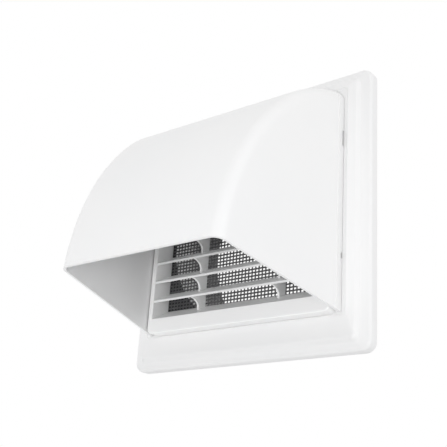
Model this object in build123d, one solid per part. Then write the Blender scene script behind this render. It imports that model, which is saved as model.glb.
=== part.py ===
from build123d import *
import math
import os

os.makedirs("parts", exist_ok=True)

# Weatherproof vent cover. Millimetres, +Z up, wall plane at y = 0, the duct runs to +Y and the
# hood reaches to -Y. The origin is on the duct's axis in the wall plane. A "level" is a distance
# in front of the wall plane, so a point at level 5 has y = -5.

# duct spigot behind the plate, which sets the size of all the rest
SPIGOT_OUTER_R = 62.5
SPIGOT_WALL = 1.6
SPIGOT_LENGTH = 40.0        # behind the wall plane
SPIGOT_LEAD = 0.9           # chamfer at the spigot's end

# louvre grille, a square frame round the duct
FRAME_SIDE_MARGIN = 3.3     # frame's sides outside the spigot
FRAME_END_MARGIN = 1.2      # frame's top and bottom outside the spigot
FRAME_WIDTH = 2 * (SPIGOT_OUTER_R + FRAME_SIDE_MARGIN)
FRAME_HEIGHT = 2 * (SPIGOT_OUTER_R + FRAME_END_MARGIN)
FRAME_CORNER_R = 4.0
FRAME_FRONT_LEVEL = 18.5
FRAME_FRONT_ROUND = 0.8
JAMB = 3.6                  # side strips of the frame
SILL_HEIGHT = 9.1
HEADER_HEIGHT = 9.1
SILL_TOP = -FRAME_HEIGHT / 2 + SILL_HEIGHT
HEADER_BOTTOM = FRAME_HEIGHT / 2 - HEADER_HEIGHT
FRAME_WALL = 1.8            # walls of the hollow sill and header
SLAT_COUNT = 8
SLAT_FIRST_RISE = 11.2      # front edge of the lowest slat over the sill
SLAT_FIRST_Z = SILL_TOP + SLAT_FIRST_RISE
SLAT_PITCH = (HEADER_BOTTOM - SLAT_FIRST_Z) / SLAT_COUNT
SLAT_THICKNESS = 1.15
SLAT_ANGLE = 30.0           # rise towards the back
SLAT_SETBACK = 0.3          # behind the frame's front face
SLAT_RELIEF = 0.4           # in front of the frame's back
OPENING_HALF = FRAME_WIDTH / 2 - JAMB
LEFT_RIB_INSET = 30.2       # the two upright ribs, from the opening's sides
RIGHT_RIB_INSET = 35.0
RIB_XS = (LEFT_RIB_INSET - OPENING_HALF, OPENING_HALF - RIGHT_RIB_INSET)
RIB_WALL = 1.3
RIB_SETBACK = 0.5           # behind the frame's front face
RIB_FRONT_LEVEL = 11.0
RIB_HOOK_DROP = 4.9         # height of the curve under each slat
LOUVRE_BACK_GAP = 0.1       # between the louvre's back and the mesh

# hood, which slides over the louvre frame
HOOD_FIT_GAP = 0.9
HOOD_WALL = 1.5
HOOD_REAR_GAP = 0.3         # between the hood's rear edge and the recess
HOOD_RIM_HALF_WIDTH = FRAME_WIDTH / 2 + HOOD_FIT_GAP + HOOD_WALL
HOOD_RIM_LENGTH = 5.2       # straight rim in front of the recess
HOOD_RIM_BLEND = 1.5
HOOD_BEAD = 0.4             # how far the rim stands out from the cheeks and the roof
HOOD_TAPER_IN = 12.8        # the cheeks lean in by this much at the front
HOOD_FRONT_HALF_WIDTH = HOOD_RIM_HALF_WIDTH - HOOD_TAPER_IN
HOOD_DEPTH = 102.5          # level of the front lip
HOOD_EDGE_R = 7.0           # rounding between the roof and the cheeks
HOOD_FOOT_RISE = 0.5        # lower rear corner over the frame's bottom
HOOD_REAR_BOTTOM = -FRAME_HEIGHT / 2 + HOOD_FOOT_RISE
HOOD_LIP_RISE = 16.8        # front lip over the lower rear corner
HOOD_LIP_BOTTOM = HOOD_REAR_BOTTOM + HOOD_LIP_RISE
HOOD_HEADROOM = 7.0         # roof over the frame's top, at the plate
ROOF_REAR_Z = FRAME_HEIGHT / 2 + HOOD_HEADROOM
LIP_LEAN = 5.5              # lean of the front at its lip, in degrees
SHOULDER_LEAN = 46.3        # lean where the front's arc meets the roof's arc
ROOF_LEAN = 81.8            # lean of the roof at the plate
HOOD_RUNOUT = 20.0          # how far the hood's form runs on past its rims before they are cut

# wall plate: a recess for the hood, a raised band round it, a step down and an outer land
RECESS_BORDER = 1.7         # recess floor outside the hood's bead
RECESS_HEAD = 0.5           # recess floor over the hood's bead
RECESS_FOOT = 0.9           # recess floor under the hood
RECESS_WIDTH = 2 * (HOOD_RIM_HALF_WIDTH + HOOD_BEAD + RECESS_BORDER)
RECESS_BOTTOM = HOOD_REAR_BOTTOM - RECESS_FOOT
RECESS_TOP = ROOF_REAR_Z + HOOD_BEAD + RECESS_HEAD
RECESS_CORNER_R = 1.2
RECESS_LEVEL = 11.0
RECESS_SLOPE = 1.0          # width of the slope up to the crest
CREST_WIDTH = 0.4
CREST_LEVEL = 11.8
BAND_BORDER = 4.3           # band outside the crest, falling to its ridge
RIDGE_WIDTH = RECESS_WIDTH + 2 * (RECESS_SLOPE + CREST_WIDTH + BAND_BORDER)
RIDGE_EXTRA_HEIGHT = 2.2    # the band is this much higher than it is wide
RIDGE_HEIGHT = RIDGE_WIDTH + RIDGE_EXTRA_HEIGHT
RIDGE_CORNER_R = 2.2
RIDGE_LEVEL = 10.8
RIDGE_ROUND = 1.4
RISER = 1.9                 # width of the slope down to the foot
FOOT_LEVEL = 8.2
FOOT_ROUND = 1.2
EDGE_BORDER = 6.1           # outer land outside the foot, falling to the edge
PLATE_SIZE = RIDGE_WIDTH + 2 * (RISER + EDGE_BORDER)
PLATE_CORNER_R = 6.0
PLATE_EDGE_LEVEL = 7.2
PLATE_EDGE_ROUND = 2.2      # rounding between the side wall and the outer land
PLATE_WALL = 2.0            # moulded wall of the plate
HOLLOW_CORNER_R = 1.0       # inside corners behind the band
STIFFENER_WALL = 1.5        # webs behind the border
STIFFENER_OFFSET = 33.0     # from the middle of each side
STIFFENER_RELIEF = 0.6      # between the webs and the wall

# pocket in the plate for the mesh and the louvre
POCKET_CLEARANCE = 0.1      # all round the louvre frame
POCKET_FLOOR_LEVEL = 3.6    # front face of the pocket's floor
POCKET_FLOOR_WALL = 2.0
POCKET_WALL = 2.0

# screw bosses in the pocket's corners
SCREW_INSET_X = 14.4        # from the pocket's walls
SCREW_INSET_Z = 13.3
SCREW_HOLE_R = 2.25
SCREW_HEAD_R = 4.2
SCREW_SINK_DEPTH = 2.0
SCREW_BOSS_R = 5.2

# insect mesh
MESH_THICKNESS = 0.9
MESH_MARGIN = 1.2           # between the mesh and the pocket's walls
MESH_COLUMNS = 11
MESH_ROWS = 10
MESH_WIRE = 3.4             # band between two gaps
MESH_RIDGE = 0.25           # height of the ridges over the sheet
MESH_RIDGE_WIDTH = 1.0
MESH_RIM = 4.0

# snap fits: hood barbs in grooves of the louvre frame, louvre barbs in windows of the pocket
CATCH_UPPER_Z = 39.4
CATCH_LOWER_Z = -31.5
CATCH_LENGTH = 8.0
CATCH_SETBACK = 3.3         # behind the frame's front face
CATCH_HEIGHT = 1.4
CATCH_CLEARANCE = 0.35
CATCH_BITE = 0.8            # depth of a hood barb inside its groove
NOTCH_LENGTH = 9.6          # release notch in the hood's rear edge
NOTCH_DEPTH = 1.3
LOWER_NOTCH_LENGTH = 3.4
LATCH_Z = 20.0
LATCH_LENGTH = 9.0
LATCH_LEVEL = 8.4
LATCH_HEIGHT = 1.6
LATCH_REACH = 1.1

# joined solids run into each other by SEAM, and cuts run past a face by CUT_RUN
SEAM = 0.5
CUT_RUN = 1.0


def prism(sketch, low, high):
    """Solid between two levels in front of the wall, from a sketch drawn in x and z."""
    return Pos(0, -low, 0) * extrude(Plane.XZ * sketch, amount=high - low)


def block(x0, x1, low, high, z0, z1):
    """Box between two levels in front of the wall."""
    return Pos((x0 + x1) / 2, -(low + high) / 2, (z0 + z1) / 2) * Box(x1 - x0, high - low, z1 - z0)


def front_edges(solid):
    """Edges round the face that lies furthest in front of the wall."""
    return solid.faces().sort_by(Axis.Y)[0].edges()


def level_edges(solid, level):
    """Edges that lie wholly at one level."""
    return solid.edges().filter_by(lambda e: abs(e.bounding_box().min.Y + level) < 1e-3
                                   and abs(e.bounding_box().max.Y + level) < 1e-3)


def tapered(near, near_level, far, far_level):
    """Solid between two outlines at two levels, drawn in x and z."""
    return loft([Pos(0, -near_level, 0) * (Plane.XZ * near).face(),
                 Pos(0, -far_level, 0) * (Plane.XZ * far).face()], ruled=True)


def recess_sketch(grow):
    """The recess's outline, moved outwards."""
    height = RECESS_TOP - RECESS_BOTTOM
    radius = RECESS_CORNER_R + grow
    return Pos(0, (RECESS_BOTTOM + RECESS_TOP) / 2) * RectangleRounded(RECESS_WIDTH + 2 * grow,
                                                                       height + 2 * grow, radius)


def plate_front():
    """Outer form of the plate: side wall, outer land, riser, band and the hood's recess."""
    body = prism(RectangleRounded(PLATE_SIZE, PLATE_SIZE, PLATE_CORNER_R), 0, PLATE_EDGE_LEVEL)
    body = fillet(front_edges(body), PLATE_EDGE_ROUND)
    size = PLATE_SIZE - 2 * PLATE_EDGE_ROUND
    edge = RectangleRounded(size, size, PLATE_CORNER_R - PLATE_EDGE_ROUND)
    foot = RectangleRounded(RIDGE_WIDTH + 2 * RISER, RIDGE_HEIGHT + 2 * RISER, RIDGE_CORNER_R + RISER)
    ridge = RectangleRounded(RIDGE_WIDTH, RIDGE_HEIGHT, RIDGE_CORNER_R)
    body += tapered(edge, PLATE_EDGE_LEVEL, foot, FOOT_LEVEL)
    body += tapered(foot, FOOT_LEVEL, ridge, RIDGE_LEVEL)
    body += tapered(ridge, RIDGE_LEVEL, recess_sketch(RECESS_SLOPE + CREST_WIDTH), CREST_LEVEL)
    body = fillet(level_edges(body, RIDGE_LEVEL), RIDGE_ROUND)
    body = fillet(level_edges(body, FOOT_LEVEL), FOOT_ROUND)
    body -= tapered(recess_sketch(0), RECESS_LEVEL, recess_sketch(RECESS_SLOPE), CREST_LEVEL)
    return body - prism(recess_sketch(RECESS_SLOPE), CREST_LEVEL - SEAM, CREST_LEVEL + CUT_RUN)


def plate_hollow():
    """Space behind the border, open to the wall."""
    wall = PLATE_WALL
    size = PLATE_SIZE - 2 * wall
    hollow = prism(RectangleRounded(size, size, PLATE_CORNER_R - wall), -CUT_RUN, PLATE_EDGE_LEVEL - wall)
    inner = RectangleRounded(RIDGE_WIDTH - 2 * wall, RIDGE_HEIGHT - 2 * wall, HOLLOW_CORNER_R)
    return hollow + prism(inner, -CUT_RUN, RECESS_LEVEL - wall)


def pocket_size(extra):
    """Width and height of the pocket, grown by `extra` on each side."""
    grow = 2 * (POCKET_CLEARANCE + extra)
    return FRAME_WIDTH + grow, FRAME_HEIGHT + grow


def stiffeners():
    """Upright webs between the pocket and the plate's side walls, behind the border."""
    width, height = pocket_size(POCKET_WALL / 2)
    reach = PLATE_SIZE / 2 - PLATE_WALL / 2
    level = PLATE_EDGE_LEVEL - PLATE_WALL / 2
    webs = Part()
    for offset in (-STIFFENER_OFFSET, STIFFENER_OFFSET):
        low, high = offset - STIFFENER_WALL / 2, offset + STIFFENER_WALL / 2
        for side in (-1, 1):
            a, b = sorted((side * width / 2, side * reach))
            webs += block(a, b, STIFFENER_RELIEF, level, low, high)
            a, b = sorted((side * height / 2, side * reach))
            webs += block(low, high, STIFFENER_RELIEF, level, a, b)
    return webs


def screw_points():
    """Centres of the four screw bosses, in x and z."""
    width, height = pocket_size(0)
    x, z = width / 2 - SCREW_INSET_X, height / 2 - SCREW_INSET_Z
    return [(sx * x, sz * z) for sx in (-1, 1) for sz in (-1, 1)]


def wall_plate():
    """Plate with the pocket, the screw bosses and the duct spigot."""
    outer_w, outer_h = pocket_size(POCKET_WALL)
    inner_w, inner_h = pocket_size(0)
    corner = FRAME_CORNER_R + POCKET_CLEARANCE
    floor_back = POCKET_FLOOR_LEVEL - POCKET_FLOOR_WALL
    casing = prism(RectangleRounded(outer_w, outer_h, corner + POCKET_WALL), floor_back, RECESS_LEVEL)
    body = plate_front() - (plate_hollow() - casing)
    body += stiffeners()
    body -= prism(RectangleRounded(inner_w, inner_h, corner), POCKET_FLOOR_LEVEL, CREST_LEVEL + CUT_RUN)
    for x, z in screw_points():
        body += prism(Pos(x, z) * Circle(SCREW_BOSS_R), 0, POCKET_FLOOR_LEVEL)
    tube = prism(Circle(SPIGOT_OUTER_R), -SPIGOT_LENGTH, POCKET_FLOOR_LEVEL)
    tube = chamfer(tube.edges().sort_by(Axis.Y)[-1], SPIGOT_LEAD)
    body += tube
    body -= prism(Circle(SPIGOT_OUTER_R - SPIGOT_WALL), -SPIGOT_LENGTH - CUT_RUN, CREST_LEVEL)
    for x, z in screw_points():
        body -= prism(Pos(x, z) * Circle(SCREW_HOLE_R), -CUT_RUN, POCKET_FLOOR_LEVEL + CUT_RUN)
        sink = Cone(SCREW_HOLE_R, SCREW_HEAD_R, SCREW_SINK_DEPTH, rotation=(90, 0, 0))
        body -= Pos(x, -(POCKET_FLOOR_LEVEL - SCREW_SINK_DEPTH / 2), z) * sink
    gap = CATCH_CLEARANCE
    for side in (-1, 1):
        for z in (-LATCH_Z, LATCH_Z):
            a, b = sorted((side * (inner_w / 2 - CUT_RUN), side * (outer_w / 2 + CUT_RUN)))
            body -= block(a, b, LATCH_LEVEL - LATCH_HEIGHT / 2 - gap, LATCH_LEVEL + LATCH_HEIGHT / 2 + gap,
                          z - LATCH_LENGTH / 2 - gap, z + LATCH_LENGTH / 2 + gap)
    return body


def slat_outline(z_front, front, back, thickness):
    """Side outline of a blade that rises from its front edge towards the back."""
    rise = (front - back) * math.tan(math.radians(SLAT_ANGLE))
    half = thickness / 2 / math.cos(math.radians(SLAT_ANGLE))
    return make_face(Polyline((-front, z_front - half), (-back, z_front + rise - half),
                              (-back, z_front + rise + half), (-front, z_front + half), close=True))


def cross_bar(face, half_length):
    """Solid along x from a side outline drawn in y and z."""
    return extrude(Plane.YZ * face, amount=half_length, both=True)


def sill(back):
    """Bottom member's sloping top and the hollow behind it."""
    front = FRAME_FRONT_LEVEL
    slope = math.tan(math.radians(SLAT_ANGLE))
    top = SILL_TOP + (front - back) * slope
    inner_front = front - FRAME_WALL
    inner_top = SILL_TOP + FRAME_WALL * slope - FRAME_WALL / math.cos(math.radians(SLAT_ANGLE))
    lift = (inner_front - back + CUT_RUN) * slope
    low = -FRAME_HEIGHT / 2 + FRAME_WALL
    foot = SILL_TOP - SEAM
    wedge = make_face(Polyline((-front, SILL_TOP), (-back, top), (-back, foot), (-front, foot), close=True))
    rear = -back + CUT_RUN
    space = make_face(Polyline((-inner_front, low), (-inner_front, inner_top), (rear, inner_top + lift),
                               (rear, low), close=True))
    return wedge, space


def rib_plate(back):
    """One upright rib, cut back between the slats with a curve under each of them."""
    front = FRAME_FRONT_LEVEL - RIB_SETBACK
    bottom, top = SILL_TOP - SEAM, HEADER_BOTTOM + SEAM
    rib = make_face(Polyline((-front, bottom), (-front, top), (-back, top), (-back, bottom), close=True))
    starts = [SILL_TOP] + [SLAT_FIRST_Z + i * SLAT_PITCH for i in range(SLAT_COUNT)]
    ends = starts[1:] + [HEADER_BOTTOM + SLAT_THICKNESS / 2]
    reach = front - RIB_FRONT_LEVEL
    rise = reach * math.tan(math.radians(SLAT_ANGLE))
    for low, high in zip(starts, ends):
        under = high - SLAT_THICKNESS / 2 - RIB_HOOK_DROP
        bite = Pos(-front, under) * Ellipse(reach, RIB_HOOK_DROP)
        bite += make_face(Polyline((-front - CUT_RUN, under), (-front - CUT_RUN, low), (-front, low),
                                   (-RIB_FRONT_LEVEL, low + rise), (-RIB_FRONT_LEVEL, under), close=True))
        rib -= bite
    return extrude(Plane.YZ * rib, amount=RIB_WALL / 2, both=True)


def louvre_grille():
    """Frame with eight rising slats and two ribs, open to the back."""
    back = POCKET_FLOOR_LEVEL + MESH_THICKNESS + LOUVRE_BACK_GAP
    front = FRAME_FRONT_LEVEL
    half = OPENING_HALF
    body = prism(RectangleRounded(FRAME_WIDTH, FRAME_HEIGHT, FRAME_CORNER_R), back, front)
    body = fillet(front_edges(body), FRAME_FRONT_ROUND)
    body -= block(-half, half, back - CUT_RUN, front + CUT_RUN, SILL_TOP, HEADER_BOTTOM)
    wedge, space = sill(back)
    body += cross_bar(wedge, half + SEAM)
    body -= cross_bar(space, half - FRAME_WALL)
    body -= block(-half + FRAME_WALL, half - FRAME_WALL, back - CUT_RUN, front - FRAME_WALL,
                  HEADER_BOTTOM + FRAME_WALL, FRAME_HEIGHT / 2 - FRAME_WALL)
    for i in range(SLAT_COUNT):
        outline = slat_outline(SLAT_FIRST_Z + i * SLAT_PITCH, front - SLAT_SETBACK, back + SLAT_RELIEF,
                               SLAT_THICKNESS)
        body += cross_bar(outline, half + SEAM)
    for x in RIB_XS:
        body += Pos(x, 0, 0) * rib_plate(back + SLAT_RELIEF)
    for side in (-1, 1):
        wall = side * FRAME_WIDTH / 2
        for z in (-LATCH_Z, LATCH_Z):
            a, b = sorted((wall - side * SEAM, wall + side * LATCH_REACH))
            barb = block(a, b, LATCH_LEVEL - LATCH_HEIGHT / 2, LATCH_LEVEL + LATCH_HEIGHT / 2,
                         z - LATCH_LENGTH / 2, z + LATCH_LENGTH / 2)
            body += barb
        level = front - CATCH_SETBACK
        for z in (CATCH_LOWER_Z, CATCH_UPPER_Z):
            gap = CATCH_CLEARANCE
            a, b = sorted((wall - side * (CATCH_BITE + gap), wall + side * CUT_RUN))
            body -= block(a, b, level - CATCH_HEIGHT / 2 - gap, level + CATCH_HEIGHT / 2 + gap,
                          z - CATCH_LENGTH / 2 - gap, z + CATCH_LENGTH / 2 + gap)
    return body


def insect_mesh():
    """Mesh panel under the louvre, as a sheet with gaps and crossing ridges."""
    width = FRAME_WIDTH + 2 * POCKET_CLEARANCE - 2 * MESH_MARGIN
    height = FRAME_HEIGHT + 2 * POCKET_CLEARANCE - 2 * MESH_MARGIN
    low = POCKET_FLOOR_LEVEL
    sheet_top = low + MESH_THICKNESS - MESH_RIDGE
    body = prism(RectangleRounded(width, height, FRAME_CORNER_R - MESH_MARGIN), low, sheet_top)
    step_x = (width - 2 * MESH_RIM + MESH_WIRE) / MESH_COLUMNS
    step_z = (height - 2 * MESH_RIM + MESH_WIRE) / MESH_ROWS
    xs = [(i - (MESH_COLUMNS - 1) / 2) * step_x for i in range(MESH_COLUMNS)]
    zs = [(j - (MESH_ROWS - 1) / 2) * step_z for j in range(MESH_ROWS)]
    gaps = Sketch() + [Pos(x, z) * Rectangle(step_x - MESH_WIRE, step_z - MESH_WIRE) for x in xs for z in zs]
    body -= prism(gaps, low - CUT_RUN, sheet_top + CUT_RUN)
    ridges = [Pos(x + step_x / 2, 0) * Rectangle(MESH_RIDGE_WIDTH, height - MESH_RIM) for x in xs[:-1]]
    ridges += [Pos(0, z + step_z / 2) * Rectangle(width - MESH_RIM, MESH_RIDGE_WIDTH) for z in zs[:-1]]
    return body + prism(Sketch() + ridges, sheet_top - MESH_RIDGE, low + MESH_THICKNESS)


def shoulder_point(lip, rear, chord, roof_chord):
    """Where the chord that rises from the lip meets the chord that ends at the roof's rear."""
    away = lip[0] - rear[0]
    rise = rear[1] - lip[1]
    length = (rise * math.sin(roof_chord) - away * math.cos(roof_chord)) / math.sin(roof_chord - chord)
    return lip[0] - length * math.sin(chord), lip[1] + length * math.cos(chord)


def arc_points(start, end, lean, end_lean, inset):
    """Both ends and the middle of an arc between two leans, moved inwards."""
    radius = math.dist(start, end) / (2 * math.sin((end_lean - lean) / 2))
    centre = (start[0] - radius * math.cos(lean), start[1] - radius * math.sin(lean))
    reach = radius - inset
    turns = (lean, (lean + end_lean) / 2, end_lean)
    return [(centre[0] + reach * math.cos(t), centre[1] + reach * math.sin(t)) for t in turns]


def hood_outline(inset):
    """Side outline of the filled hood: a front arc and a roof arc that join smoothly."""
    lip = (HOOD_DEPTH, HOOD_LIP_BOTTOM)
    rear = (RECESS_LEVEL, ROOF_REAR_Z)
    leans = [math.radians(lean) for lean in (LIP_LEAN, SHOULDER_LEAN, ROOF_LEAN)]
    shoulder = shoulder_point(lip, rear, (leans[0] + leans[1]) / 2, (leans[1] + leans[2]) / 2)
    face = arc_points(lip, shoulder, leans[0], leans[1], inset)
    roof = arc_points(shoulder, rear, leans[1], leans[2], inset)
    bottom = HOOD_REAR_BOTTOM - HOOD_RUNOUT
    foot = (face[0][0] + (face[0][1] - bottom) * math.tan(leans[0]), bottom)
    top = (0, roof[2][1] + roof[2][0] / math.tan(leans[2]))
    sides = [Polyline(*[(-p[0], p[1]) for p in (roof[2], top, (0, bottom), foot, face[0])])]
    sides += [ThreePointArc(*[(-p[0], p[1]) for p in arc]) for arc in (face, roof)]
    return make_face(Curve() + sides)


def hood_plan(inset):
    """Plan of the filled hood: a straight rim, then cheeks that lean in."""
    taper = (HOOD_RIM_HALF_WIDTH - HOOD_FRONT_HALF_WIDTH) / (HOOD_DEPTH - RECESS_LEVEL - HOOD_RIM_LENGTH)
    rim = HOOD_RIM_HALF_WIDTH - inset
    front = HOOD_FRONT_HALF_WIDTH - inset * math.hypot(1, taper) - HOOD_RUNOUT * taper
    far = HOOD_DEPTH + HOOD_RUNOUT
    kink = RECESS_LEVEL + HOOD_RIM_LENGTH - inset * taper / 2
    corners = [(-rim, 0), (-rim, -kink), (-front, -far), (front, -far), (rim, -kink), (rim, 0)]
    plan = make_face(Polyline(*corners, close=True))
    return fillet(plan.vertices().sort_by(Axis.Y)[2:4], HOOD_RIM_BLEND)


def hood_volume(inset):
    """Filled hood, moved inwards by `inset`, running past its rear and lower edges."""
    body = extrude(Plane.YZ * hood_outline(inset), amount=PLATE_SIZE, both=True)
    body &= Pos(0, 0, -PLATE_SIZE) * extrude(hood_plan(inset), amount=2 * PLATE_SIZE)
    roof = body.faces().filter_by(lambda f: f.normal_at().Z > 0.1 or f.normal_at().Y < -0.5)
    cheeks = body.faces().filter_by(lambda f: abs(f.normal_at().X) > 0.5)
    shared = ShapeList(e for e in body.edges()
                       if any(e in f.edges() for f in roof) and any(e in f.edges() for f in cheeks))
    return fillet(shared, HOOD_EDGE_R - inset)


def hood():
    """Curved hood, open at its underside and towards the plate, with its beaded rim and snap barbs."""
    rear = RECESS_LEVEL + HOOD_REAR_GAP
    reach = PLATE_SIZE
    bead = hood_volume(-HOOD_BEAD) & block(-reach, reach, 0, RECESS_LEVEL + HOOD_RIM_LENGTH, -reach, reach)
    body = hood_volume(0) + bead - hood_volume(HOOD_WALL)
    body -= block(-reach, reach, -CUT_RUN, rear, -reach, reach)
    fall = (HOOD_LIP_BOTTOM - HOOD_REAR_BOTTOM) / (HOOD_DEPTH - rear)
    far = HOOD_DEPTH + 2 * HOOD_RUNOUT
    near = HOOD_REAR_BOTTOM - (rear + CUT_RUN) * fall
    below = make_face(Polyline((CUT_RUN, near), (-far, HOOD_REAR_BOTTOM + (far - rear) * fall),
                               (-far, -reach), (CUT_RUN, -reach), close=True))
    body -= cross_bar(below, reach)
    inner = HOOD_RIM_HALF_WIDTH - HOOD_WALL
    tip = FRAME_WIDTH / 2 - CATCH_BITE
    level = FRAME_FRONT_LEVEL - CATCH_SETBACK
    for side in (-1, 1):
        for z in (CATCH_LOWER_Z, CATCH_UPPER_Z):
            a, b = sorted((side * tip, side * (inner + SEAM)))
            body += block(a, b, level - CATCH_HEIGHT / 2, level + CATCH_HEIGHT / 2,
                          z - CATCH_LENGTH / 2, z + CATCH_LENGTH / 2)
        a, b = sorted((side * (inner - CUT_RUN), side * (HOOD_RIM_HALF_WIDTH + HOOD_BEAD + CUT_RUN)))
        for z, length in ((CATCH_LOWER_Z, LOWER_NOTCH_LENGTH), (CATCH_UPPER_Z, NOTCH_LENGTH)):
            body -= block(a, b, rear - CUT_RUN, rear + NOTCH_DEPTH, z - length / 2, z + length / 2)
    return body


for name, make in (("wall_plate", wall_plate), ("louvre_grille", louvre_grille),
                   ("insect_mesh", insect_mesh), ("hood", hood)):
    export_step(make(), f"parts/{name}.step")
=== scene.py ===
"""Dresses the weatherproof vent cover.

Its mouldings become white plastic, its insect mesh is woven, and a plain studio stands round it.
"""

import math

import bpy
from mathutils import Matrix, Vector


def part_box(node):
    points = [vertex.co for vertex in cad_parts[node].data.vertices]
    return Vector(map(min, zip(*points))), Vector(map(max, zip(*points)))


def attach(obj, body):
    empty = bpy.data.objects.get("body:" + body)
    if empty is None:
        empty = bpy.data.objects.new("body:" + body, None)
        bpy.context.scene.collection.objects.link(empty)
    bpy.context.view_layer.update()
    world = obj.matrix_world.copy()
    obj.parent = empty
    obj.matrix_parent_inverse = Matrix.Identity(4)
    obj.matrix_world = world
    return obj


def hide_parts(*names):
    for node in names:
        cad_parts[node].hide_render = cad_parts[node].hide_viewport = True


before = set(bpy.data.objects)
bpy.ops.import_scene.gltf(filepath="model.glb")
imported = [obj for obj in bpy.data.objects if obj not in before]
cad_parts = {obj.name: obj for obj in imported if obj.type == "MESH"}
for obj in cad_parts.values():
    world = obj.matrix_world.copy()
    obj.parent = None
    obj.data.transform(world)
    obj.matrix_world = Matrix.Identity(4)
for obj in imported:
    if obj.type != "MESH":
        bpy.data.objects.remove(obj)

bl_info = {
    "name": "Weatherproof Vent Cover",
    "version": (1, 0, 0),
    "blender": (4, 5, 0),
    "location": "View3D > Sidebar > Vent Cover",
    "description": "Finishes the mouldings, weaves the insect mesh and sets up the studio",
    "category": "Object",
}

MM = 0.001

# where noise values mostly lie
NOISE_LOW, NOISE_HIGH = 0.3, 0.7

# white plastic: noise in waves a metre, where its flow marks begin and end, their tints, and the
# depth of its sinks and its grain
FLOW_WAVES, GLOSS_WAVES, SINK_WAVES, GRAIN_WAVES = 14.0, 120.0, 24.0, 2600.0
FLOW_LOW, FLOW_HIGH = 0.35, 0.65
COOL_TINT, WARM_TINT = (0.984, 0.987, 0.99), (1.0, 0.999, 0.997)
SINK_DEPTH, GRAIN_DEPTH = 0.2 * MM, 0.02 * MM
PLASTIC_ROUGHNESS = (0.42, 0.52)
PLASTIC_IOR = 1.49

# coated yarn and the dark sheet of painted shade: noise in waves a metre, the dust's darkest and
# palest share of the colour, and the depth of the coating's grain
DUST_WAVES, COATING_WAVES = 900.0, 6000.0
DUST_DARK, DUST_PALE = 0.8, 1.25
COATING_DEPTH = 0.02 * MM
YARN_ROUGHNESS = (0.5, 0.7)

# a yarn's sides, and its swing to each side of the mesh's middle as a share of its thickness
YARN_SIDES = 6
YARN_SWING = 0.48

# the dark sheet behind the mesh, painted shade where the plate's floor lies in shadow: radius of
# its round window and number of steps round it
SHADE_SHEET_RADIUS = 61.0 * MM
SHADE_SHEET_STEPS = 144

# painted shade in the duct's inside, darker with depth: radius, depth where its grey begins and
# ends, and its darkest tone
DUCT_PAINTED_SHADE = (61.2 * MM, 5.0 * MM, 24.0 * MM, 0.14)

# strength of the world's light from each side: axis, direction along it and strength
SKY = (("X", 1, 1.06), ("X", -1, 1.40), ("Y", 1, 0.40), ("Z", 1, 1.26))
SKY_FALLOFF = 2.0

# soft lamps: place, size, power in watts and, for a spot, the width of its cone in degrees
LAMPS = {
    "front_lamp": ((0.20, -1.60, -0.24), 0.9, 2.0, None),
    "side_lamp": ((1.65, -0.45, 0.05), 0.9, 2.8, None),
    "low_spot": ((0.22, -0.85, -0.34), 0.3, 12.4, 36.0),
}
LAMP_TARGET = (0.0, -0.04, 0.0)
SPOT_BLEND = 0.5

# the floor: half its width, its height, and its faint cloudy tones
FLOOR_REACH, FLOOR_LEVEL = 1.35, -0.42
FLOOR_WAVES = 3.0
FLOOR_DARK, FLOOR_PALE = 0.72, 0.76
FLOOR_ROUGHNESS = 0.8

# the camera, fitted to the photograph's square plate and hood: metres, degrees and millimetres
CAMERA_PLACE = (0.30216, -0.39967, -0.18609)
CAMERA_YAW, CAMERA_PITCH, CAMERA_ROLL = 39.34, 20.617, -3.823
CAMERA_LENS, CAMERA_SENSOR = 70.09, 36.0
CAMERA_NEAR = 0.01


def grey(tone):
    """A neutral colour."""
    return (tone, tone, tone)


def tinted(colour, tint):
    """A colour times a tint, channel by channel."""
    return tuple(c * t for c, t in zip(colour, tint))


def calculated(tree, operation, first, second):
    """Result of a Math node whose two values are numbers or sockets."""
    made = tree.nodes.new("ShaderNodeMath")
    made.operation = operation
    for value, socket in zip((first, second), made.inputs):
        if isinstance(value, (int, float)):
            socket.default_value = value
        else:
            tree.links.new(value, socket)
    return made.outputs[0]


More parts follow.
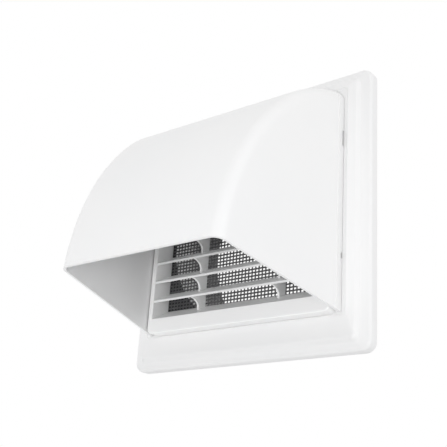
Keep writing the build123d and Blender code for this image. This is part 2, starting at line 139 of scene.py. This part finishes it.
class Shading:
    """Builds one procedural material, node by node."""

    def __init__(self, name):
        self.material = bpy.data.materials.new(name)
        self.material.use_nodes = True
        self.tree = self.material.node_tree
        self.surface = self.tree.nodes["Principled BSDF"]
        self.place = self.node("ShaderNodeTexCoord").outputs["Object"]

    def node(self, kind, **settings):
        made = self.tree.nodes.new(kind)
        for key, value in settings.items():
            setattr(made, key, value)
        return made

    def link(self, source, target):
        self.tree.links.new(source, target)

    def noise(self, waves, detail=2.0, rough=0.5):
        """Noise value over the object, so many waves a metre."""
        made = self.node("ShaderNodeTexNoise")
        made.inputs["Scale"].default_value = waves
        made.inputs["Detail"].default_value = detail
        made.inputs["Roughness"].default_value = rough
        self.link(self.place, made.inputs["Vector"])
        return made.outputs["Fac"]

    def ramp(self, value, *stops):
        """Colour ramp between two stops, each a position and a colour."""
        made = self.node("ShaderNodeValToRGB")
        for mark, (position, colour) in zip(made.color_ramp.elements, stops):
            mark.position = position
            mark.color = (*colour, 1.0)
        self.link(value, made.inputs["Fac"])
        return made.outputs["Color"]

    def spread(self, value, low, high):
        """Maps a noise value to a range."""
        made = self.node("ShaderNodeMapRange")
        made.inputs["From Min"].default_value = NOISE_LOW
        made.inputs["From Max"].default_value = NOISE_HIGH
        made.inputs["To Min"].default_value = low
        made.inputs["To Max"].default_value = high
        self.link(value, made.inputs["Value"])
        return made.outputs["Result"]

    def product(self, first, second):
        """Product of two colours."""
        made = self.node("ShaderNodeVectorMath", operation="MULTIPLY")
        self.link(first, made.inputs[0])
        self.link(second, made.inputs[1])
        return made.outputs["Vector"]

    def bore_painted_shade(self, radius, start, end, darkest):
        """Painted shade: tone that darkens with depth inside a bore along Y, and is plain white
        outside it.
        """
        flat = self.node("ShaderNodeVectorMath", operation="MULTIPLY")
        self.link(self.place, flat.inputs[0])
        flat.inputs[1].default_value = (1.0, 0.0, 1.0)
        reach = self.node("ShaderNodeVectorMath", operation="LENGTH")
        self.link(flat.outputs["Vector"], reach.inputs[0])
        inside = calculated(self.tree, "LESS_THAN", reach.outputs["Value"], radius)
        way = self.node("ShaderNodeSeparateXYZ")
        self.link(self.place, way.inputs[0])
        depth = self.node("ShaderNodeMapRange", interpolation_type="SMOOTHSTEP")
        depth.inputs["From Min"].default_value = start
        depth.inputs["From Max"].default_value = end
        self.link(way.outputs["Y"], depth.inputs["Value"])
        share = calculated(self.tree, "MULTIPLY", inside, depth.outputs["Result"])
        return self.ramp(share, (0.0, grey(1.0)), (1.0, grey(darkest)))

    def bump(self, height, depth, strength, below=None):
        """Bump of a depth in metres, on top of another bump if one is given."""
        made = self.node("ShaderNodeBump")
        made.inputs["Strength"].default_value = strength
        made.inputs["Distance"].default_value = depth
        self.link(height, made.inputs["Height"])
        if below:
            self.link(below, made.inputs["Normal"])
        return made.outputs["Normal"]


def white_plastic(name, colour, bore=None):
    """Satin moulded plastic: faint flow marks in its colour, fine grain in its surface, and painted
    shade deep inside a bore if one is given.
    """
    shade = Shading(name)
    flow = shade.noise(FLOW_WAVES, detail=3.0, rough=0.55)
    cool, warm = tinted(colour, COOL_TINT), tinted(colour, WARM_TINT)
    tone = shade.ramp(flow, (FLOW_LOW, cool), (FLOW_HIGH, warm))
    # painted shade, darker deeper inside the duct
    if bore:
        tone = shade.product(tone, shade.bore_painted_shade(*bore))
    shade.link(tone, shade.surface.inputs["Base Color"])
    gloss = shade.spread(shade.noise(GLOSS_WAVES, detail=4.0), *PLASTIC_ROUGHNESS)
    shade.link(gloss, shade.surface.inputs["Roughness"])
    sink = shade.bump(shade.noise(SINK_WAVES, detail=1.0), SINK_DEPTH, strength=0.35)
    grain = shade.bump(shade.noise(GRAIN_WAVES), GRAIN_DEPTH, strength=0.5, below=sink)
    shade.link(grain, shade.surface.inputs["Normal"])
    shade.surface.inputs["IOR"].default_value = PLASTIC_IOR
    return shade.material


def mesh_plastic(name, colour):
    """Dull coated yarn, or the dark sheet of painted shade, with dust in its colour and gloss."""
    shade = Shading(name)
    dust = shade.noise(DUST_WAVES, detail=3.0)
    dark, pale = tinted(colour, grey(DUST_DARK)), tinted(colour, grey(DUST_PALE))
    tone = shade.ramp(dust, (NOISE_LOW, dark), (NOISE_HIGH, pale))
    shade.link(tone, shade.surface.inputs["Base Color"])
    shade.link(shade.spread(dust, *YARN_ROUGHNESS), shade.surface.inputs["Roughness"])
    coating = shade.bump(shade.noise(COATING_WAVES, detail=1.0), COATING_DEPTH, strength=0.4)
    shade.link(coating, shade.surface.inputs["Normal"])
    return shade.material


def pale_floor():
    """Matt floor with a faint cloudy tone."""
    shade = Shading("pale_floor")
    clouds = shade.noise(FLOOR_WAVES)
    tone = shade.ramp(clouds, (NOISE_LOW, grey(FLOOR_DARK)), (NOISE_HIGH, grey(FLOOR_PALE)))
    shade.link(tone, shade.surface.inputs["Base Color"])
    shade.surface.inputs["Roughness"].default_value = FLOOR_ROUGHNESS
    return shade.material


def finish_node(name, material):
    """Gives a carried-over solid its material."""
    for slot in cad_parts[name].material_slots:
        slot.material = material


def new_piece(name, points, faces, material):
    """Adds a mesh object in the frame, riding on the cover."""
    mesh = bpy.data.meshes.new(name)
    mesh.from_pydata(points, [], faces)
    mesh.materials.append(material)
    mesh.validate()
    piece = bpy.data.objects.new(name, mesh)
    bpy.context.scene.collection.objects.link(piece)
    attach(piece, "root")
    return piece


class VentSizes(bpy.types.PropertyGroup):
    """Sizes and colours of the finish."""

    plastic_colour: bpy.props.FloatVectorProperty(
        name="Plastic", description="Colour of the hood and the plate",
        subtype="COLOR", size=3, min=0.0, max=1.0, default=(0.86, 0.86, 0.862))
    # the louvre's plastic is paler than the hood's and the plate's: painted light that brightens it
    # in the hood's shade
    louvre_painted_light_colour: bpy.props.FloatVectorProperty(
        name="Louvre Plastic", description="Colour of the louvre",
        subtype="COLOR", size=3, min=0.0, max=1.0, default=(0.94, 0.94, 0.94))
    # the dark sheet round the duct's mouth is painted shade, standing where the plate's floor lies
    # in shadow
    shade_sheet_colour: bpy.props.FloatVectorProperty(
        name="Film", description="Colour of the dark film round the duct's mouth",
        subtype="COLOR", size=3, min=0.0, max=1.0, default=(0.018, 0.018, 0.02))
    yarn_colour: bpy.props.FloatVectorProperty(
        name="Yarn", description="Colour of the insect mesh",
        subtype="COLOR", size=3, min=0.0, max=1.0, default=(0.10, 0.10, 0.103))
    mesh_pitch_x: bpy.props.FloatProperty(
        name="Mesh Pitch Across", description="Distance between two upright yarns",
        unit="LENGTH", default=2.5 * MM, precision=5)
    mesh_pitch_z: bpy.props.FloatProperty(
        name="Mesh Pitch Up", description="Distance between two level yarns",
        unit="LENGTH", default=2.12 * MM, precision=5)
    yarn_width: bpy.props.FloatProperty(
        name="Yarn Width", description="Width of a yarn",
        unit="LENGTH", default=1.04 * MM, precision=5)
    yarn_thickness: bpy.props.FloatProperty(
        name="Yarn Thickness", description="Thickness of a yarn through the mesh",
        unit="LENGTH", default=0.40 * MM, precision=5)
    # thickness of the dark sheet of painted shade behind the mesh
    shade_sheet_thickness: bpy.props.FloatProperty(
        name="Film Thickness", description="Thickness of the film behind the mesh",
        unit="LENGTH", default=0.10 * MM, precision=5)
    lamp_strength: bpy.props.FloatProperty(
        name="Lamps", description="Strength of the soft lamps", default=1.0, min=0.0)
    ambient: bpy.props.FloatProperty(
        name="Sky", description="Strength of the light from all round", default=1.0, min=0.0)


class VENT_OT_mouldings(bpy.types.Operator):
    """Finishes the plate, the louvre and the hood in white plastic"""

    bl_idname = "vent.mouldings"
    bl_label = "Mouldings"

    def execute(self, context):
        sizes = context.scene.vent_sizes
        colour = tuple(sizes.plastic_colour)
        # the louvre's paler colour is painted light, brightening it in the hood's shade
        louvre_painted_light_colour = tuple(sizes.louvre_painted_light_colour)
        # the wall plate's duct gets painted shade inside, darker with depth
        finish_node("wall_plate", white_plastic("wall_plate_plastic", colour, DUCT_PAINTED_SHADE))
        finish_node("louvre_grille", white_plastic("louvre_grille_plastic", louvre_painted_light_colour))
        finish_node("hood", white_plastic("hood_plastic", colour))
        return {"FINISHED"}


def yarn(points, faces, path, across, out, width, thickness):
    """Adds a tube along a path, wide across the sheet and thin through it."""
    first = len(points)
    for place in path:
        for i in range(YARN_SIDES):
            turn = 2 * math.pi * i / YARN_SIDES
            flat, deep = math.cos(turn) * width / 2, math.sin(turn) * thickness / 2
            points.append(tuple(place + (across * flat + out * deep)))
    for ring in range(len(path) - 1):
        base = first + ring * YARN_SIDES
        for i in range(YARN_SIDES):
            j = (i + 1) % YARN_SIDES
            faces.append((base + i, base + j, base + YARN_SIDES + j, base + YARN_SIDES + i))
    last = first + (len(path) - 1) * YARN_SIDES
    faces.append(tuple(first + i for i in reversed(range(YARN_SIDES))))
    faces.append(tuple(last + i for i in range(YARN_SIDES)))


def woven_line(start, end, crossings, pitch, swing):
    """A yarn's places along its run and its offsets, over one crossing yarn and under the next."""
    line = [(start, 0.0)]
    for i, crossing in enumerate(crossings):
        line.append((crossing, swing * (-1) ** i))
        if i + 1 < len(crossings):
            line.append((crossing + pitch / 2, 0.0))
    line.append((end, 0.0))
    return line


def spaced(middle, span, pitch):
    """Places of the yarns that fit in a span, at an even pitch about its middle."""
    count = int(span / pitch)
    return [middle + (i - (count - 1) / 2) * pitch for i in range(count)]


def shade_sheet(low, high, radius, thickness):
    """Flat dark sheet of painted shade at the back of the mesh's box, with a round window for the
    duct.
    """
    half_x, half_z = min(-low.x, high.x), min(-low.z, high.z)
    points = []
    for i in range(SHADE_SHEET_STEPS):
        turn = 2 * math.pi * (i + 0.5) / SHADE_SHEET_STEPS
        cosine, sine = math.cos(turn), math.sin(turn)
        edge = min(half_x / abs(cosine), half_z / abs(sine))
        for reach in (radius, edge):
            for level in (high.y - thickness, high.y):
                points.append((cosine * reach, level, sine * reach))
    # front, back, the window's wall and the outer edge
    faces = []
    for i in range(SHADE_SHEET_STEPS):
        a, b = 4 * i, 4 * ((i + 1) % SHADE_SHEET_STEPS)
        faces += [(a, a + 2, b + 2, b), (a + 1, b + 1, b + 3, a + 3),
                  (a, b, b + 1, a + 1), (a + 2, a + 3, b + 3, b + 2)]
    return points, faces


class VENT_OT_insect_mesh(bpy.types.Operator):
    """Weaves the insect mesh, yarn over yarn, and lays a dark sheet of painted shade behind it"""

    bl_idname = "vent.insect_mesh"
    bl_label = "Insect Mesh"

    def execute(self, context):
        sizes = context.scene.vent_sizes
        width, thickness = sizes.yarn_width, sizes.yarn_thickness
        low, high = (Vector(corner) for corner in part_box("insect_mesh"))
        middle, span = (low + high) / 2, high - low
        middle.y = low.y + thickness
        xs = spaced(middle.x, span.x, sizes.mesh_pitch_x)
        zs = spaced(middle.z, span.z, sizes.mesh_pitch_z)
        swing = thickness * YARN_SWING
        across, up, out = Vector((1, 0, 0)), Vector((0, 0, 1)), Vector((0, 1, 0))
        points, faces = [], []
        for j, z in enumerate(zs):
            line = woven_line(low.x, high.x, xs, sizes.mesh_pitch_x, swing * (-1) ** j)
            path = [Vector((x, middle.y + offset, z)) for x, offset in line]
            yarn(points, faces, path, up, out, width, thickness)
        for i, x in enumerate(xs):
            line = woven_line(low.z, high.z, zs, sizes.mesh_pitch_z, -swing * (-1) ** i)
            path = [Vector((x, middle.y + offset, z)) for z, offset in line]
            yarn(points, faces, path, -across, out, width, thickness)
        material = mesh_plastic("mesh_yarn", tuple(sizes.yarn_colour))
        piece = new_piece("woven_mesh", points, faces, material)
        for face in piece.data.polygons:
            face.use_smooth = len(face.vertices) == 4
        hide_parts("insect_mesh")
        # a dark sheet of painted shade behind the mesh, where the plate's floor lies in shadow
        points, faces = shade_sheet(low, high, SHADE_SHEET_RADIUS, sizes.shade_sheet_thickness)
        material = mesh_plastic("painted_shade_sheet", tuple(sizes.shade_sheet_colour))
        shade_sheet_piece = new_piece("mesh_shade_sheet", points, faces, material)
        return {"FINISHED"}


def light_world(strength):
    """World that lights softly from each side and shows white to the camera and in reflections."""
    world = bpy.data.worlds.new("studio_world")
    bpy.context.scene.world = world
    world.use_nodes = True
    tree = world.node_tree
    tree.nodes.clear()
    place = tree.nodes.new("ShaderNodeTexCoord")
    way = tree.nodes.new("ShaderNodeSeparateXYZ")
    tree.links.new(place.outputs["Generated"], way.inputs["Vector"])
    light = 0.0
    for axis, side, share in SKY:
        along = calculated(tree, "MULTIPLY", way.outputs[axis], side)
        facing = calculated(tree, "MAXIMUM", along, 0.0)
        part = calculated(tree, "POWER", facing, SKY_FALLOFF)
        light = calculated(tree, "ADD", calculated(tree, "MULTIPLY", part, share * strength), light)
    soft = tree.nodes.new("ShaderNodeBackground")
    soft.inputs["Color"].default_value = (*grey(1.0), 1.0)
    tree.links.new(light, soft.inputs["Strength"])
    white = tree.nodes.new("ShaderNodeBackground")
    white.inputs["Color"].default_value = (*grey(1.0), 1.0)
    white.inputs["Strength"].default_value = 1.0
    path = tree.nodes.new("ShaderNodeLightPath")
    seen = path.outputs["Is Camera Ray"]
    for name in ("Is Glossy Ray", "Is Transmission Ray"):
        seen = calculated(tree, "MAXIMUM", seen, path.outputs[name])
    mix = tree.nodes.new("ShaderNodeMixShader")
    tree.links.new(seen, mix.inputs["Fac"])
    tree.links.new(soft.outputs[0], mix.inputs[1])
    tree.links.new(white.outputs[0], mix.inputs[2])
    output = tree.nodes.new("ShaderNodeOutputWorld")
    tree.links.new(mix.outputs[0], output.inputs["Surface"])


def lay_floor():
    """Pale floor below the cover."""
    mesh = bpy.data.meshes.new("floor")
    corners = [(-FLOOR_REACH, -FLOOR_REACH), (FLOOR_REACH, -FLOOR_REACH),
               (FLOOR_REACH, FLOOR_REACH), (-FLOOR_REACH, FLOOR_REACH)]
    mesh.from_pydata([(x, y, FLOOR_LEVEL) for x, y in corners], [], [(0, 1, 2, 3)])
    mesh.materials.append(pale_floor())
    floor = bpy.data.objects.new("floor", mesh)
    bpy.context.scene.collection.objects.link(floor)


def soft_lamp(name, place, size, power, cone):
    """Square softbox that faces the cover, or a soft spot whose cone keeps off the floor."""
    lamp = bpy.data.lights.new(name, "SPOT" if cone else "AREA")
    lamp.energy = power
    if cone:
        lamp.shadow_soft_size = size / 2
        lamp.spot_size = math.radians(cone)
        lamp.spot_blend = SPOT_BLEND
    else:
        lamp.shape = "SQUARE"
        lamp.size = size
    holder = bpy.data.objects.new(name, lamp)
    holder.location = place
    facing = Vector(LAMP_TARGET) - Vector(place)
    holder.rotation_euler = facing.to_track_quat("-Z", "Y").to_euler()
    bpy.context.scene.collection.objects.link(holder)


def place_camera():
    """Camera at the photograph's place and angle."""
    yaw, pitch, roll = (math.radians(a) for a in (CAMERA_YAW, CAMERA_PITCH, CAMERA_ROLL))
    level = math.cos(pitch)
    ahead = Vector((-math.sin(yaw) * level, math.cos(yaw) * level, math.sin(pitch)))
    right = Vector((math.cos(yaw), math.sin(yaw), 0.0))
    down = ahead.cross(right)
    turned_right = math.cos(roll) * right + math.sin(roll) * down
    turned_down = math.cos(roll) * down - math.sin(roll) * right
    data = bpy.data.cameras.new("camera")
    data.sensor_width = CAMERA_SENSOR
    data.lens = CAMERA_LENS
    data.clip_start = CAMERA_NEAR
    camera = bpy.data.objects.new("camera", data)
    turn = Matrix((turned_right, -turned_down, -ahead)).transposed().to_4x4()
    camera.matrix_world = Matrix.Translation(CAMERA_PLACE) @ turn
    bpy.context.scene.collection.objects.link(camera)
    bpy.context.scene.camera = camera


class VENT_OT_studio(bpy.types.Operator):
    """Adds the world's light, the pale floor, the soft lamps and the camera"""

    bl_idname = "vent.studio"
    bl_label = "Studio"

    def execute(self, context):
        sizes = context.scene.vent_sizes
        light_world(sizes.ambient)
        lay_floor()
        for name, (place, size, watts, cone) in LAMPS.items():
            soft_lamp(name, place, size, watts * sizes.lamp_strength, cone)
        place_camera()
        context.scene.view_settings.view_transform = "Standard"
        return {"FINISHED"}


class VENT_PT_panel(bpy.types.Panel):
    """Sizes, colours and buttons for the cover's pieces"""

    bl_idname = "VENT_PT_panel"
    bl_label = "Vent Cover"
    bl_space_type = "VIEW_3D"
    bl_region_type = "UI"
    bl_category = "Vent Cover"

    def draw(self, context):
        layout = self.layout
        for name in VentSizes.__annotations__:
            layout.prop(context.scene.vent_sizes, name)
        for operator in OPERATORS:
            layout.operator(operator.bl_idname)


OPERATORS = (VENT_OT_mouldings, VENT_OT_insect_mesh, VENT_OT_studio)
CLASSES = (VentSizes, *OPERATORS, VENT_PT_panel)


def register():
    for cls in CLASSES:
        bpy.utils.register_class(cls)
    bpy.types.Scene.vent_sizes = bpy.props.PointerProperty(type=VentSizes)


def unregister():
    del bpy.types.Scene.vent_sizes
    for cls in reversed(CLASSES):
        bpy.utils.unregister_class(cls)


def main():
    register()
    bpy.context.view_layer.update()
    bpy.ops.vent.mouldings()
    bpy.ops.vent.insect_mesh()
    bpy.ops.vent.studio()


if __name__ == "__main__":
    main()
